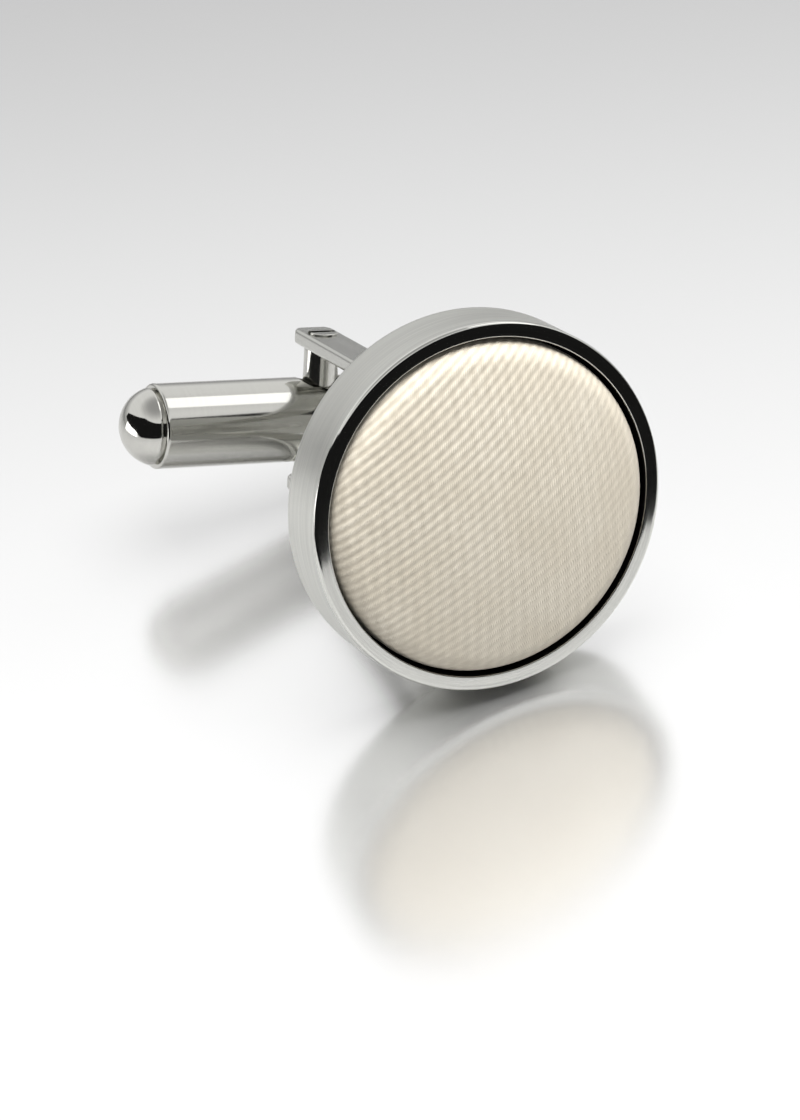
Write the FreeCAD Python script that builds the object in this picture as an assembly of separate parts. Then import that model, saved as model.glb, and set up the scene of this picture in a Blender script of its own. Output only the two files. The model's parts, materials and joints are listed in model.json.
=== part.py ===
import FreeCAD, Part
import math
import os

# A swivel-back cufflink with a cloth-covered face. Millimetres.
# Each piece is modelled in the link's own frame: the origin is the middle of the cup's back, +Y runs back
# along the post, the face looks along -Y, +X runs along the toggle and +Z along the pivot pin.
# At the end the whole link is laid on a table at z = 0, as it rests by itself: on the cup's back edge, on
# the end of the lower prong and on the right-hand end of the toggle.

Vector = FreeCAD.Vector

# Cup
cup_radius = 8.5
cup_depth = 3.2
cup_wall = 0.68
cup_floor = 0.6
lip_outer_round = 0.16
lip_inner_round = 0.05
cup_back_round = 0.25
cup_inside_round = 0.2

# Covered button in the cup
button_gap = 0.15
cloth_thickness = 0.28
cloth_tuck = 0.55
crown_above_lip = 1.3
rim_above_lip = 0.3
button_edge_round = 1.2
shell_wall = 0.35
back_disc_thickness = 0.4
glue_thickness = 0.12
glue_inset = 0.6

# Post: a foot disc and a U-shaped fork, set a little below the cup's axis
post_drop = 0.6
foot_radius = 3.9
foot_thickness = 0.6
foot_edge_round = 0.15
post_length = 16.0
fork_width = 2.0
fork_thickness = 0.7
fork_above_toggle = 3.5
fork_below_toggle = 3.1
fork_bend_inside = 0.9
prong_overhang = 1.5
prong_corner = 0.6

# Pivot pin, slotted on top and riveted below, and the two collars that hold the toggle between the prongs
pin_radius = 0.55
pin_head_radius = 0.72
screw_head_height = 0.1
screw_head_round = 0.05
slot_width = 0.3
slot_depth = 0.25
rivet_head_height = 0.15
rivet_head_round = 0.08
pin_flat_depth = 0.05
collar_radius = 0.85
collar_bore_clearance = 0.02

# Toggle: a tube with a domed plug in each end
toggle_radius = 2.05
toggle_bore = 1.3
toggle_half_length = 8.6
toggle_edge_round = 0.12
collar_seat_height = 1.6
collar_seat_clearance = 0.35
swivel_clearance = 0.05
plug_clearance = 0.02
plug_spigot_length = 2.0
plug_neck_radius = 1.65
plug_neck_length = 0.15
plug_dome_radius = 1.85
plug_dome_height = 1.45
plug_dome_land = 0.1

# Detent inside the toggle: a ball pushed against the pin's flats by a coil spring
ball_bore_clearance = 0.05
ball_pin_clearance = 0.02
spring_radius = 0.95
spring_wire_radius = 0.1
spring_turns = 6
spring_end_clearance = 0.03

# Rounds of the solution for the resting place
rest_rounds = 60

# Places worked out from the sizes above
upper_outside = fork_above_toggle + fork_thickness
lower_outside = fork_below_toggle + fork_thickness
fork_middle = (fork_above_toggle - fork_below_toggle) / 2
prong_end = post_length + prong_overhang
pin_top = upper_outside + screw_head_height
pin_bottom = lower_outside + rivet_head_height
pivot = Vector(0, post_length, -post_drop)
button_radius = cup_radius - cup_wall - button_gap
shell_radius = button_radius - cloth_thickness
button_base = cup_floor + glue_thickness
button_rim = cup_depth + rim_above_lip
button_crown = cup_depth + crown_above_lip
tuck_radius = shell_radius - shell_wall
back_disc_radius = tuck_radius - cloth_thickness
ball_radius = toggle_bore - ball_bore_clearance
ball_place = pin_radius + ball_pin_clearance + ball_radius

TO_FRONT = FreeCAD.Rotation(Vector(0, 0, 1), Vector(0, -1, 0))
TO_BACK = FreeCAD.Rotation(Vector(0, 0, 1), Vector(0, 1, 0))
TO_RIGHT = FreeCAD.Rotation(Vector(0, 0, 1), Vector(1, 0, 0))
TO_LEFT = FreeCAD.Rotation(Vector(0, 0, 1), Vector(-1, 0, 0))
UPRIGHT = FreeCAD.Rotation()
OVER = FreeCAD.Rotation(Vector(1, 0, 0), 180)


def placed(shape, base, rotation):
    """Move a shape that was made along +Z at the origin to its place in the link."""
    shape = shape.copy()
    shape.Placement = FreeCAD.Placement(base, rotation)
    return shape


def corner_edges(corners, plane):
    """Closed outline through (u, v, radius) corners: straight runs, and a tangent arc at each round corner.

    plane turns u and v into a point in space.
    """
    entries, middles, exits = [], [], []
    count = len(corners)
    for index, (u, v, radius) in enumerate(corners):
        here = Vector(u, v, 0)
        before = Vector(*corners[index - 1][:2], 0) - here
        after = Vector(*corners[(index + 1) % count][:2], 0) - here
        before.normalize()
        after.normalize()
        half_angle = before.getAngle(after) / 2
        cut = radius / math.tan(half_angle)
        entries.append(here + before * cut)
        exits.append(here + after * cut)
        bisector = before + after
        depth = radius / math.sin(half_angle) - radius
        middles.append(here + bisector.normalize() * depth if radius else here)
    edges = []
    for index in range(count):
        if corners[index][2]:
            arc = (entries[index], middles[index], exits[index])
            edges.append(Part.Arc(*[plane(point.x, point.y) for point in arc]).toShape())
        start = exits[index]
        end = entries[(index + 1) % count]
        if start.distanceToPoint(end) > 1e-7:
            edges.append(Part.LineSegment(plane(start.x, start.y), plane(end.x, end.y)).toShape())
    return edges


def turned(corners):
    """Solid of revolution about +Z from (radius, height, corner radius) corners."""
    edges = corner_edges(corners, lambda across, along: Vector(across, 0, along))
    return Part.Face(Part.Wire(edges)).revolve(Vector(), Vector(0, 0, 1), 360)


def disc(radius, low, high):
    return Part.makeCylinder(radius, high - low, Vector(0, 0, low))


def domed_disc(radius, low, rim, crown):
    """Disc with an upright side from low to rim and a spherical top that rises to crown at the middle."""
    sphere_radius = (radius ** 2 + (crown - rim) ** 2) / (2 * (crown - rim))
    half_turn = math.asin(radius / sphere_radius) / 2
    sphere_middle = crown - sphere_radius
    dome_middle = Vector(
        sphere_radius * math.sin(half_turn), 0, sphere_middle + sphere_radius * math.cos(half_turn))
    foot = Vector(0, 0, low)
    edge = Vector(radius, 0, low)
    shoulder = Vector(radius, 0, rim)
    top = Vector(0, 0, crown)
    outline = Part.Wire([
        Part.LineSegment(foot, edge).toShape(),
        Part.LineSegment(edge, shoulder).toShape(),
        Part.Arc(shoulder, dome_middle, top).toShape(),
        Part.LineSegment(top, foot).toShape(),
    ])
    return Part.Face(outline).revolve(Vector(), Vector(0, 0, 1), 360)


def rounded_at(solid, height, radius):
    """Fillet the circular edges of a turned solid that lie at one height."""
    match = 1e-4
    edges = []
    for edge in solid.Edges:
        box = edge.BoundBox
        if not edge.Degenerated and box.ZLength < match and abs(box.Center.z - height) < match:
            edges.append(edge)
    return solid.makeFillet(radius, edges)


def face_cup():
    solid = turned([
        (0, 0, 0),
        (cup_radius, 0, cup_back_round),
        (cup_radius, cup_depth, lip_outer_round),
        (cup_radius - cup_wall, cup_depth, lip_inner_round),
        (cup_radius - cup_wall, cup_floor, cup_inside_round),
        (0, cup_floor, 0),
    ])
    return placed(solid, Vector(), TO_FRONT)


def button_form(inset, low):
    """The button's domed outline, drawn in all round by inset and cut off below at low."""
    solid = domed_disc(button_radius - inset, low, button_rim - inset, button_crown - inset)
    return rounded_at(solid, button_rim - inset, button_edge_round - inset)


def fabric_cover():
    rim_low = button_base + cloth_thickness
    cloth = button_form(0, button_base).cut(button_form(cloth_thickness, rim_low))
    cloth = cloth.cut(disc(back_disc_radius, button_base, rim_low))
    tuck = disc(tuck_radius, button_base, rim_low + cloth_tuck)
    tuck = tuck.cut(disc(back_disc_radius, button_base, rim_low + cloth_tuck))
    return placed(cloth.fuse(tuck).removeSplitter(), Vector(), TO_FRONT)


def button_shell():
    rim_low = button_base + cloth_thickness
    solid = button_form(cloth_thickness, rim_low)
    inset = cloth_thickness + shell_wall
    hollow = domed_disc(tuck_radius, rim_low, button_rim - inset, button_crown - inset)
    return placed(solid.cut(hollow), Vector(), TO_FRONT)


def button_back():
    solid = disc(back_disc_radius, button_base, button_base + back_disc_thickness)
    return placed(solid, Vector(), TO_FRONT)


def glue_pad():
    return placed(disc(button_radius - glue_inset, cup_floor, button_base), Vector(), TO_FRONT)


def foot_plate():
    solid = turned([
        (0, 0, 0),
        (foot_radius, 0, 0),
        (foot_radius, foot_thickness, foot_edge_round),
        (0, foot_thickness, 0),
    ])
    return placed(solid, Vector(0, 0, fork_middle - post_drop), TO_BACK)


def fork():
    base = foot_thickness
    web = base + fork_thickness
    bend_outside = fork_bend_inside + fork_thickness
    side = corner_edges([
        (base, -lower_outside, bend_outside),
        (base, upper_outside, bend_outside),
        (prong_end, upper_outside, 0),
        (prong_end, fork_above_toggle, 0),
        (web, fork_above_toggle, fork_bend_inside),
        (web, -fork_below_toggle, fork_bend_inside),
        (prong_end, -fork_below_toggle, 0),
        (prong_end, -lower_outside, 0),
    ], lambda along, up: Vector(-fork_width / 2, along, up))
    plan = corner_edges([
        (-fork_width / 2, base, 0),
        (fork_width / 2, base, 0),
        (fork_width / 2, prong_end, prong_corner),
        (-fork_width / 2, prong_end, prong_corner),
    ], lambda across, along: Vector(across, along, -lower_outside))
    strip = Part.Face(Part.Wire(side)).extrude(Vector(fork_width, 0, 0))
    strip = strip.common(Part.Face(Part.Wire(plan)).extrude(Vector(0, 0, upper_outside + lower_outside)))
    hole = placed(disc(pin_radius, -lower_outside, upper_outside), Vector(0, post_length, 0), UPRIGHT)
    return placed(strip.cut(hole), Vector(0, 0, -post_drop), UPRIGHT)


def pivot_pin():
    solid = turned([
        (0, -pin_bottom, 0),
        (pin_head_radius, -pin_bottom, rivet_head_round),
        (pin_head_radius, -lower_outside, 0),
        (pin_radius, -lower_outside, 0),
        (pin_radius, upper_outside, 0),
        (pin_head_radius, upper_outside, 0),
        (pin_head_radius, pin_top, screw_head_round),
        (0, pin_top, 0),
    ])
    square = 2 * (pin_radius - pin_flat_depth)
    flats = disc(pin_radius, -ball_radius, ball_radius)
    flats = flats.cut(Part.makeBox(
        square, square, 2 * ball_radius, Vector(-square / 2, -square / 2, -ball_radius)))
    slot_corner = Vector(-pin_head_radius, -slot_width / 2, pin_top - slot_depth)
    slot = Part.makeBox(2 * pin_head_radius, slot_width, slot_depth, slot_corner)
    return placed(solid.cut(flats).cut(slot), pivot, UPRIGHT)


def collar(prong_height, rotation):
    """Collar from its seat in the toggle to the prong, prong_height away from the toggle's axis."""
    low = collar_seat_height + swivel_clearance
    bore = disc(pin_radius + collar_bore_clearance, low, prong_height)
    return placed(disc(collar_radius, low, prong_height).cut(bore), pivot, rotation)


def toggle_bar():
    tube = turned([
        (toggle_bore, -toggle_half_length, 0),
        (toggle_radius, -toggle_half_length, toggle_edge_round),
        (toggle_radius, toggle_half_length, toggle_edge_round),
        (toggle_bore, toggle_half_length, 0),
    ])
    tube = placed(tube, Vector(), TO_RIGHT)
    tube = tube.cut(disc(pin_radius + swivel_clearance, -toggle_radius, toggle_radius))
    seat = disc(collar_radius + collar_seat_clearance, collar_seat_height, toggle_radius)
    tube = tube.cut(seat)
    tube = tube.cut(placed(seat, Vector(), OVER))
    return placed(tube, pivot, UPRIGHT)


def end_plug(side, rotation):
    """Domed plug for one end of the tube: side is +1 on the right and -1 on the left."""
    dome_base = plug_neck_length
    dome_rim = dome_base + plug_dome_land
    solid = domed_disc(plug_dome_radius, dome_base, dome_rim, dome_base + plug_dome_height)
    solid = solid.fuse(disc(plug_neck_radius, 0, dome_base))
    solid = solid.fuse(disc(toggle_bore - plug_clearance, -plug_spigot_length, 0))
    return placed(solid.removeSplitter(), pivot + Vector(side * toggle_half_length, 0, 0), rotation)


def arc_between(start, corner, end):
    """Arc from start to end, tangent at both to the lines through corner, equally far from both."""
    middle = (start + end) * 0.5
    half_chord = start.distanceToPoint(end) / 2
    height = middle.distanceToPoint(corner)
    half_angle = math.atan2(height, half_chord)
    rise = half_chord * math.tan(half_angle / 2)
    return Part.Arc(start, middle + (corner - middle).normalize() * rise, end).toShape()


def detent_spring():
    """Coil spring from the ball to the right-hand plug: wire along a helix of two arcs each quarter turn."""
    wire_stand_off = spring_wire_radius + spring_end_clearance
    ball_side = math.sqrt((ball_radius + wire_stand_off) ** 2 - spring_radius ** 2)
    first = ball_place + ball_side
    last = toggle_half_length - plug_spigot_length - wire_stand_off
    quarters = 4 * spring_turns
    advance = (last - first) / quarters
    points, tangents = [], []
    for quarter in range(quarters + 1):
        angle = quarter * math.pi / 2
        across = spring_radius * math.cos(angle)
        up = spring_radius * math.sin(angle)
        points.append(Vector(first + advance * quarter, across, up))
        tangents.append(Vector(advance * 2 / math.pi, -up, across).normalize())
    edges = []
    for quarter in range(quarters):
        start, end = points[quarter], points[quarter + 1]
        leaving, arriving = tangents[quarter], tangents[quarter + 1]
        chord = end - start
        along = chord.dot(leaving + arriving)
        turn = 2 * (1 - leaving.dot(arriving))
        reach = (math.sqrt(along ** 2 + turn * chord.dot(chord)) - along) / turn
        first_corner = start + leaving * reach
        second_corner = end - arriving * reach
        joint = (first_corner + second_corner) * 0.5
        edges.append(arc_between(start, first_corner, joint))
        edges.append(arc_between(joint, second_corner, end))
    section = Part.Wire(Part.makeCircle(spring_wire_radius, points[0], tangents[0]))
    coil = Part.Wire(edges).makePipeShell([section], True, False)
    return placed(coil, pivot, UPRIGHT)


def detent_ball():
    return placed(Part.makeSphere(ball_radius), pivot + Vector(ball_place, 0, 0), UPRIGHT)


def rest_turn():
    """Rotation that lays the link on its three supports.

    A support's reach is how far it extends towards the table. The downward direction (right, back, down) in
    the link's frame is the one in which the cup's edge, the rounded right corner at the lower prong's end and
    the toggle's right end reach equally far.
    """
    corner_right = fork_width / 2 - prong_corner
    corner_back = prong_end - prong_corner
    right, back = 0.0, 0.0
    for _ in range(rest_rounds):
        down = math.sqrt(1 - right ** 2 - back ** 2)
        cup_reach = (cup_radius - cup_back_round) * math.hypot(right, down) + cup_back_round * (1 - back)
        prong_reach = corner_right * right + prong_corner * math.hypot(right, back)
        prong_reach += (post_drop + lower_outside) * down
        toggle_reach = (toggle_radius - toggle_edge_round) * math.hypot(back, down)
        toggle_reach += post_drop * down + toggle_edge_round
        back = (cup_reach - prong_reach) / corner_back
        further = prong_reach + (corner_back - post_length) * back - toggle_reach
        right = further / (toggle_half_length - toggle_edge_round)
    upward = Vector(-right, -back, down)
    backward = Vector(0, 1, 0) - upward * upward.y
    backward.normalize()
    return FreeCAD.Rotation(backward.cross(upward), backward, upward, "ZYX").inverted()


def rest_placement(shapes):
    """Place of the link on the table, with the origin under the middle of its bounding box."""
    lying = Part.makeCompound(shapes)
    lying.Placement = FreeCAD.Placement(Vector(), rest_turn())
    box = lying.optimalBoundingBox(False, False)
    return FreeCAD.Placement(Vector(-box.Center.x, -box.Center.y, -box.ZMin), rest_turn())


pieces = {
    "face_cup": face_cup(),
    "fabric_cover": fabric_cover(),
    "button_shell": button_shell(),
    "button_back": button_back(),
    "glue_pad": glue_pad(),
    "foot_plate": foot_plate(),
    "fork": fork(),
    "pivot_pin": pivot_pin(),
    "upper_collar": collar(fork_above_toggle, UPRIGHT),
    "lower_collar": collar(fork_below_toggle, OVER),
    "toggle_bar": toggle_bar(),
    "left_end_plug": end_plug(-1, TO_LEFT),
    "right_end_plug": end_plug(1, TO_RIGHT),
    "detent_spring": detent_spring(),
    "detent_ball": detent_ball(),
}

rest = rest_placement(list(pieces.values()))
os.makedirs("parts", exist_ok=True)
for name, shape in pieces.items():
    shape.Placement = rest * shape.Placement
    shape.exportStep("parts/" + name + ".step")
    print(name, "solids", len(shape.Solids), "valid", shape.isValid(), "volume", round(shape.Volume, 3))
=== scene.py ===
import json

import bmesh
import bpy
import numpy as np
from mathutils import Matrix


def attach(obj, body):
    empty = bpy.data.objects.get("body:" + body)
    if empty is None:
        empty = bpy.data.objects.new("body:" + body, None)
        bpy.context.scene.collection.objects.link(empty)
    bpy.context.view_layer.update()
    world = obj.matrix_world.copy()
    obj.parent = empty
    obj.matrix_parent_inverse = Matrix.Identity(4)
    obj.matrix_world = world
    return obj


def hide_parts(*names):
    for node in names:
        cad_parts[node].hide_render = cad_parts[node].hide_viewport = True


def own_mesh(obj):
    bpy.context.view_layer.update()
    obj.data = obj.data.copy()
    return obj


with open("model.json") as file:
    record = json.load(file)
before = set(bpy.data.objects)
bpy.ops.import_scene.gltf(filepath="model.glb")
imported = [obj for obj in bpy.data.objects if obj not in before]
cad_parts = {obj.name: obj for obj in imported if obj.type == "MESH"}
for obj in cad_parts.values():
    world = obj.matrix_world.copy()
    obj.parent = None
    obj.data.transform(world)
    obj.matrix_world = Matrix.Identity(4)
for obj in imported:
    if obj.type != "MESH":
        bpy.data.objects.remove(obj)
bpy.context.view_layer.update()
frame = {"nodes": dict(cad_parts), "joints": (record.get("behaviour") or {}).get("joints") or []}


# Face cup: a shallow turned cup of nickel-plated brass that holds the covered button.
# Its side and back are brushed round in the lathe, and its lip is polished bright.
# Its inside is painted black: painted shade for the dark groove round the button.
MM = 0.001
joints = {joint["name"]: joint for joint in frame["joints"]}

# The link lies tilted on the table, so the cup and the rest are made along the link's own axes. The toggle
# turns about the pin, and the detent ball is pressed along the toggle. The post runs square to both, back
# from the face. Sizes are in metres, and places are told right, back and up from the pivot.
PIVOT = np.array(joints["toggle_swivel"]["pos_m"])
RIGHT = np.array(joints["detent_press"]["axis"])
UP = np.array(joints["toggle_swivel"]["axis"])
BACK = np.cross(UP, RIGHT)
AXES = np.stack([RIGHT, BACK, UP])


def reach(node):
    """Lowest and highest reach of a CAD node to the right, back and up from the pivot."""
    mesh = frame["nodes"][node].data
    points = np.empty(len(mesh.vertices) * 3, np.float32)
    mesh.vertices.foreach_get("co", points)
    told = (points.reshape(-1, 3) - PIVOT) @ AXES.T
    return told.min(axis=0), told.max(axis=0)


cup_low, cup_high = reach("face_cup")
cup_radius = (cup_high[0] - cup_low[0]) / 2
cup_depth = cup_high[1] - cup_low[1]
cup_back = cup_high[1]
face_height = (cup_high[2] + cup_low[2]) / 2
cup_wall = 0.68 * MM
cup_floor = 0.6 * MM
cup_back_round = 0.25 * MM
cup_inside_round = 0.2 * MM
lip_outer_round = 0.16 * MM
lip_inner_round = 0.05 * MM
lip_polish_reach = 0.18 * MM
lip_polish_fade = 0.05 * MM
nickel = (0.68, 0.68, 0.645)


def outline(corners, spacing, arc_steps=9):
    """Points along a line through (across, along, rounding) corners, and how far along it each one lies.

    A rounded corner is the arc that is tangent to both its sides: centre + a blend of the two spokes, each
    weighted by the sine of its share of the turn over the sine of the whole turn. Straight runs are divided
    to about the spacing.
    """
    corners = np.array(corners, float)
    places = corners[:, :2]
    runs = [places[:1]]
    for before, here, after, rounding in zip(places, places[1:], places[2:], corners[1:, 2]):
        if rounding == 0:
            runs.append(here[None])
            continue
        arriving = (before - here) / np.linalg.norm(before - here)
        leaving = (after - here) / np.linalg.norm(after - here)
        half = np.arccos(arriving @ leaving) / 2
        first = here + arriving * rounding / np.tan(half)
        last = here + leaving * rounding / np.tan(half)
        middle = arriving + leaving
        centre = here + middle / np.linalg.norm(middle) * rounding / np.sin(half)
        turn = np.pi - 2 * half
        share = np.linspace(0, 1, arc_steps)[:, None]
        spokes = np.sin((1 - share) * turn) * (first - centre) + np.sin(share * turn) * (last - centre)
        runs.append(centre + spokes / np.sin(turn))
    runs.append(places[-1:])
    points = np.concatenate(runs)
    along = np.concatenate([[0], np.cumsum(np.linalg.norm(np.diff(points, axis=0), axis=1))])
    stations = np.union1d(along, np.arange(0, along[-1], spacing))
    line = np.stack([np.interp(stations, along, points[:, side]) for side in (0, 1)], axis=1)
    return line, stations


def turned(line, stations, centre, axis, across, sides):
    """Patch of a turned solid, whose line gives (radius, height).

    A point is centre + height * axis + radius * (cos(angle) * across + sin(angle) * square). The UV map
    holds the angle as a share of a turn, and the stations: metres along the line, or along the axis.
    """
    angle = np.linspace(0, 2 * np.pi, sides + 1)
    square = np.cross(axis, across)
    spoke = np.cos(angle)[:, None] * np.array(across) + np.sin(angle)[:, None] * square
    points = line[:, :1, None] * spoke + line[:, 1:, None] * np.array(axis) + np.array(centre)
    uv = np.stack(np.broadcast_arrays(angle / (2 * np.pi), stations[:, None]), axis=-1)
    return points, uv


def skin(name, patches, sharp_degrees=35):
    """One closed piece from patches of points on grids, told from the pivot.

    A patch is (points, uv), with rows x columns x 3 and rows x columns x 2 numbers, and each four
    neighbours make a quad. Points that meet, along seams and at poles, are merged, and the faces are turned
    outwards. Edges that turn by more than sharp_degrees stay sharp.
    """
    merge_distance = 2e-7
    told = np.concatenate([points.reshape(-1, 3) for points, uv in patches])
    flat_uv = np.concatenate([uv.reshape(-1, 2) for points, uv in patches])
    quads = []
    first = 0
    for points, uv in patches:
        rows, columns = points.shape[:2]
        index = first + np.arange(rows * columns).reshape(rows, columns)
        corners = [index[:-1, :-1], index[:-1, 1:], index[1:, 1:], index[1:, :-1]]
        quads.append(np.stack(corners, axis=-1).reshape(-1, 4))
        first += rows * columns
    quads = np.concatenate(quads)
    mesh = bpy.data.meshes.new(name)
    mesh.from_pydata(PIVOT + told @ AXES, [], quads)
    layer = mesh.uv_layers.new(name="UVMap")
    layer.uv.foreach_set("vector", flat_uv[quads.ravel()].astype(np.float32).ravel())
    build = bmesh.new()
    build.from_mesh(mesh)
    bmesh.ops.remove_doubles(build, verts=build.verts, dist=merge_distance)
    bmesh.ops.recalc_face_normals(build, faces=build.faces)
    build.to_mesh(mesh)
    build.free()
    mesh.shade_smooth()
    mesh.set_sharp_from_angle(angle=np.radians(sharp_degrees))
    piece = bpy.data.objects.new(name, mesh)
    bpy.context.scene.collection.objects.link(piece)
    return piece


class Shade:
    """A socket in a material. Python's operators on it add Math nodes, and node() adds any other node."""

    def __init__(self, tree, socket=None):
        self.tree = tree
        self.socket = socket

    def node(self, kind, settings, sockets, output=0):
        """Add a node, set its settings, then give its sockets their values or links."""
        made = self.tree.nodes.new(kind)
        for name, value in settings.items():
            setattr(made, name, value)
        for name, value in sockets.items():
            if isinstance(value, Shade):
                self.tree.links.new(value.socket, made.inputs[name])
            else:
                made.inputs[name].default_value = value
        return Shade(self.tree, made.outputs[output] if made.outputs else None)

    def math(self, operation, first, second=0.0):
        """A Math node on one or two numbers."""
        return self.node("ShaderNodeMath", {"operation": operation}, {0: first, 1: second})

    def __add__(self, other):
        return self.math("ADD", self, other)

    def __radd__(self, other):
        return self.math("ADD", other, self)

    def __sub__(self, other):
        return self.math("SUBTRACT", self, other)

    def __rsub__(self, other):
        return self.math("SUBTRACT", other, self)

    def __mul__(self, other):
        return self.math("MULTIPLY", self, other)

    def __rmul__(self, other):
        return self.math("MULTIPLY", other, self)

    def coordinate(self, which):
        """Object coordinates or the UV map, as a vector."""
        return self.node("ShaderNodeTexCoord", {}, {}, which)

    def part(self, letter):
        """One of the three numbers of a vector."""
        return self.node("ShaderNodeSeparateXYZ", {}, {"Vector": self}, letter)

    def scaled(self, times):
        """A vector times one number or three."""
        times = (times,) * 3 if np.isscalar(times) else times
        return self.node("ShaderNodeVectorMath", {"operation": "MULTIPLY"}, {0: self, 1: times})

    def noise(self, detail=2.0, w=None):
        """Soft noise with one feature to each unit of this vector, and also along w if it is given."""
        settings = {"noise_dimensions": "3D" if w is None else "4D"}
        sockets = {"Vector": self, "Scale": 1.0, "Detail": detail}
        if w is not None:
            sockets["W"] = w
        return self.node("ShaderNodeTexNoise", settings, sockets)

    def ramp(self, low, high):
        """Smooth step of this value: 0 at low and 1 at high."""
        sockets = {"Value": self, "From Min": low, "From Max": high}
        return self.node("ShaderNodeMapRange", {"interpolation_type": "SMOOTHSTEP"}, sockets)

    def spread(self):
        """Noise, which seldom leaves 0.3 to 0.7, spread over 0 to 1."""
        return self.ramp(0.3, 0.7)

    def mix(self, first, second):
        """Colour from first to second as this value goes from 0 to 1."""
        sockets = {0: self}
        for index, colour in ((6, first), (7, second)):
            sockets[index] = colour if isinstance(colour, Shade) else (*colour, 1.0)
        return self.node("ShaderNodeMix", {"data_type": "RGBA"}, sockets, 2)

    def bump(self, depth):
        """Normal of a surface raised by this value times depth."""
        return self.node("ShaderNodeBump", {}, {"Height": self, "Distance": depth, "Strength": 1.0})


def new_material(name):
    """An empty material, and the Shade that its nodes are made from."""
    material = bpy.data.materials.new(name)
    material.use_nodes = True
    material.node_tree.nodes.clear()
    return material, Shade(material.node_tree)


def close_material(shade, sockets):
    """Principled surface with these sockets, led to the material's output."""
    surface = shade.node("ShaderNodeBsdfPrincipled", {}, sockets)
    shade.node("ShaderNodeOutputMaterial", {}, {"Surface": surface})


def worked_metal(name, colour, roughness, mark_width, mark_depth, mark_gloss, bright=None, painted_shade_from=None):
    """Bare metal with the fine marks of the tool that finished it, drawn out along the UV map's u.

    Marks are noise that changes fast along v and slowly over the piece. They change the roughness by up to
    mark_gloss, and darken the metal by as large a share. Handling leaves soft patches. Where bright, a
    (low, high) stretch of v, is given, the metal is polished there. From v = painted_shade_from on, it is
    painted
    black: painted shade where the shade of a recess falls.
    """
    noise_detail = 3.0
    mark_length = 5 * MM
    patch_size = 2.5 * MM
    patch_gloss = 0.05
    polished_roughness = 0.05
    black = (0.02, 0.02, 0.02)
    material, shade = new_material(name)
    place = shade.coordinate("Object")
    v = shade.coordinate("UV").part("Y")
    marks = place.scaled(1 / mark_length).noise(noise_detail, v * (1 / mark_width))
    patches = place.scaled(1 / patch_size).noise(noise_detail)
    worked = roughness + (marks - 0.5) * (2 * mark_gloss) + (patches - 0.5) * patch_gloss
    raised = marks
    if bright is not None:
        low, high = bright
        inside = v.ramp(low - lip_polish_fade, low) * v.ramp(high + lip_polish_fade, high)
        worked = worked * (1 - inside) + inside * (polished_roughness + patches * patch_gloss)
        raised = marks * (1 - inside)
    marked = tuple((1 - mark_gloss) * part for part in colour)
    tone = marks.spread().mix(marked, colour)
    # Painted shade: from this v on, into the recess, the metal is painted black.
    if painted_shade_from is not None:
        tone = v.ramp(painted_shade_from, painted_shade_from + lip_polish_fade).mix(tone, black)
    close_material(shade, {
        "Base Color": tone,
        "Metallic": 1.0,
        "Roughness": worked,
        "Normal": raised.bump(mark_depth),
    })
    return material


cup_line, cup_stations = outline([
    (0, 0, 0),
    (cup_radius, 0, cup_back_round),
    (cup_radius, cup_depth, lip_outer_round),
    (cup_radius - cup_wall, cup_depth, lip_inner_round),
    (cup_radius - cup_wall, cup_floor, cup_inside_round),
    (0, cup_floor, 0),
], spacing=0.25 * MM)
cup_centre = (0, cup_back, face_height)
TO_FACE = (0, -1, 0)
TO_RIGHT = (1, 0, 0)
lip = cup_stations[cup_line[:, 1] > cup_depth - lip_polish_reach]
groove = cup_stations[cup_line[:, 1] > cup_depth - lip_inner_round].max()
cup = skin("satin_cup", [turned(cup_line, cup_stations, cup_centre, TO_FACE, TO_RIGHT, sides=360)])
# The cup's inside is painted black from the groove on: painted shade for the gap round the button.
cup.data.materials.append(worked_metal(
    "brushed_nickel", nickel, roughness=0.46, mark_width=0.09 * MM, mark_depth=0.012 * MM, mark_gloss=0.16,
    bright=(lip.min(), lip.max()), painted_shade_from=groove))
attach(cup, "face")
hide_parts("face_cup")


# Foot plate: a nickel-plated disc, brazed to the cup's back, that carries the fork.
# It is turned like the cup and brushed a little finer.
foot_low, foot_high = reach("foot_plate")
foot_radius = (foot_high[0] - foot_low[0]) / 2
foot_thickness = foot_high[1] - foot_low[1]
foot_edge_round = 0.15 * MM
foot_line, foot_stations = outline([
    (0, 0, 0),
    (foot_radius, 0, 0),
    (foot_radius, foot_thickness, foot_edge_round),
    (0, foot_thickness, 0),
], spacing=0.2 * MM)
foot_centre = (0, foot_low[1], (foot_low[2] + foot_high[2]) / 2)
TO_BACK = (0, 1, 0)
TO_TOP = (0, 0, 1)
foot = skin("foot_disc", [turned(foot_line, foot_stations, foot_centre, TO_BACK, TO_TOP, sides=192)])
foot.data.materials.append(worked_metal(
    "turned_nickel", nickel, roughness=0.24, mark_width=0.04 * MM, mark_depth=0.002 * MM, mark_gloss=0.06))
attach(foot, "face")
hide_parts("foot_plate")


# Fork: one strip of nickel-plated brass bent to a U and brazed to the foot plate. Its prongs end in
# rounded corners and are drilled for the pin, and tumbling has taken the edges off the strip.
fork_low, fork_high = reach("fork")
fork_half_width = (fork_high[0] - fork_low[0]) / 2
fork_thickness = 0.7 * MM
fork_bend_inside = 0.9 * MM
prong_corner = 0.6 * MM
strip_edge_round = 0.16 * MM
pin_hole_radius = 0.55 * MM
upper_outside = fork_high[2]
lower_outside = fork_low[2]
prong_end = fork_high[1]
web_middle = fork_low[1] + fork_thickness / 2
bend_middle = fork_bend_inside + fork_thickness / 2
tumbled_tone = (0.6, 0.6, 0.565)


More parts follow.
